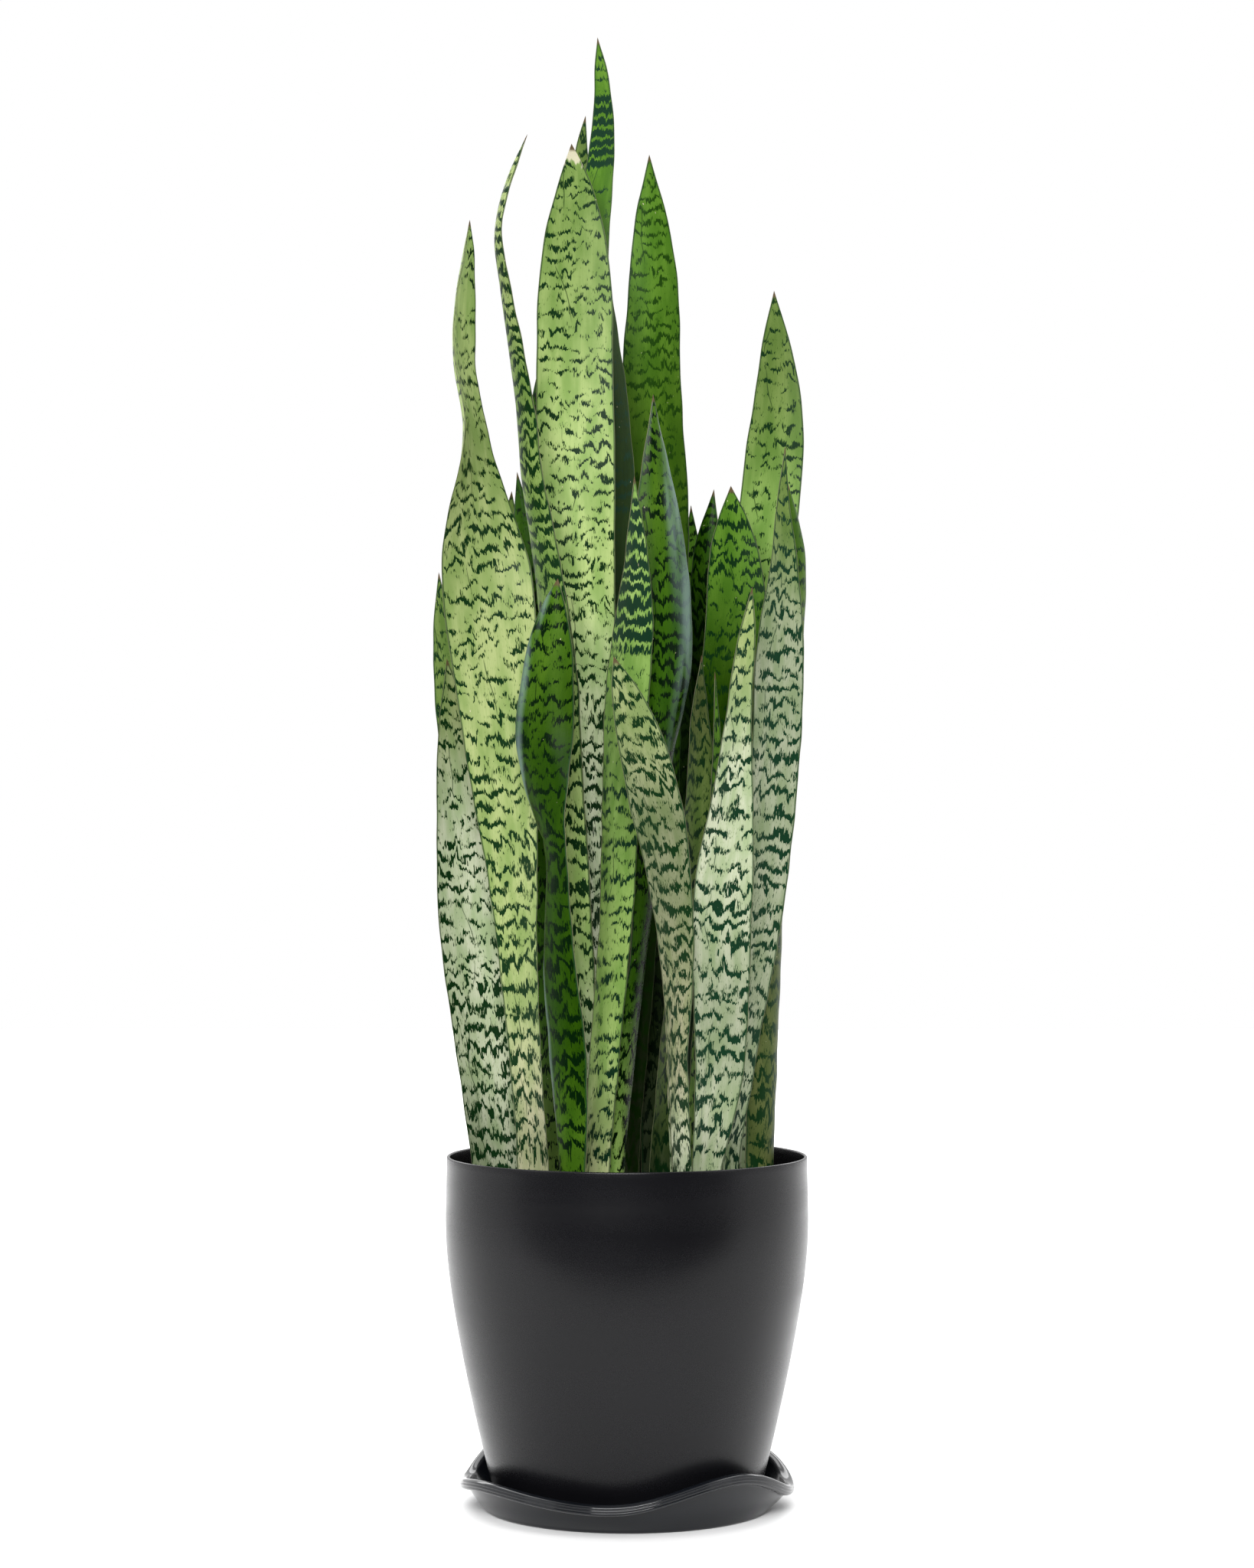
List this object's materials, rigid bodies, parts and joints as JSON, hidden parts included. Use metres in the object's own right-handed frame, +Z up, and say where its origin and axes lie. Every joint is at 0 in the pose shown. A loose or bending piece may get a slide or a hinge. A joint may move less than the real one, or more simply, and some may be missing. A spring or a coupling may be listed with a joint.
{
  "type": "potted snake plant",
  "caption": "Clump of upright banded sword-shaped leaves in a round tapered pot, standing on a saucer with a wavy rolled lip.",
  "frame": {"origin": "middle of the saucer's flat underside, which rests on the floor", "axes": "+Z up along the pot's axis; -Y is the side that faces the viewer, +X to the viewer's right"},
  "size_m": [0.2664, 0.254, 1.04],
  "materials": {
    "saucer_plastic": "glossy charcoal-black moulded plastic",
    "pot_plastic": "satin charcoal-black moulded plastic",
    "potting_mix": "dark crumbly peat and bark",
    "leaf_pale": "waxy yellow-green with dark cross bands",
    "leaf_grey": "waxy pale grey-green with dark cross bands",
    "leaf_bright": "waxy bright green with dark cross bands",
    "leaf_dark": "glossy deep green with blackish marks",
    "leaf_olive": "waxy olive green with dark cross bands"
  },
  "bodies": {
    "root": {"saucer": "saucer_plastic", "pot": "pot_plastic", "soil": "potting_mix", "leaf_left_tall_twisted": "leaf_pale", "leaf_thin_twisting": "leaf_pale", "leaf_centre_broad": "leaf_pale", "leaf_back_split_tip": "leaf_olive", "leaf_tallest": "leaf_bright", "leaf_right_tall_dark": "leaf_dark", "leaf_right_back_spotted": "leaf_dark", "leaf_centre_right_dark": "leaf_dark", "leaf_front_banded": "leaf_bright", "leaf_front_left_broad": "leaf_dark", "leaf_far_left_back": "leaf_olive", "leaf_far_left_low": "leaf_grey", "leaf_front_folded": "leaf_pale", "leaf_back_left_outer": "leaf_olive", "leaf_back_left_inner": "leaf_dark", "leaf_back_centre": "leaf_dark", "leaf_right_tall_pale": "leaf_pale", "leaf_right_grey": "leaf_grey", "leaf_right_mid_broad": "leaf_olive", "leaf_front_right_pale": "leaf_grey", "leaf_back_right_inner": "leaf_dark", "leaf_back_right_outer": "leaf_dark", "leaf_inner_shaded": "leaf_olive", "leaf_young_sliver": "leaf_bright", "leaf_far_right": "leaf_olive"}
  },
  "joints": []
}
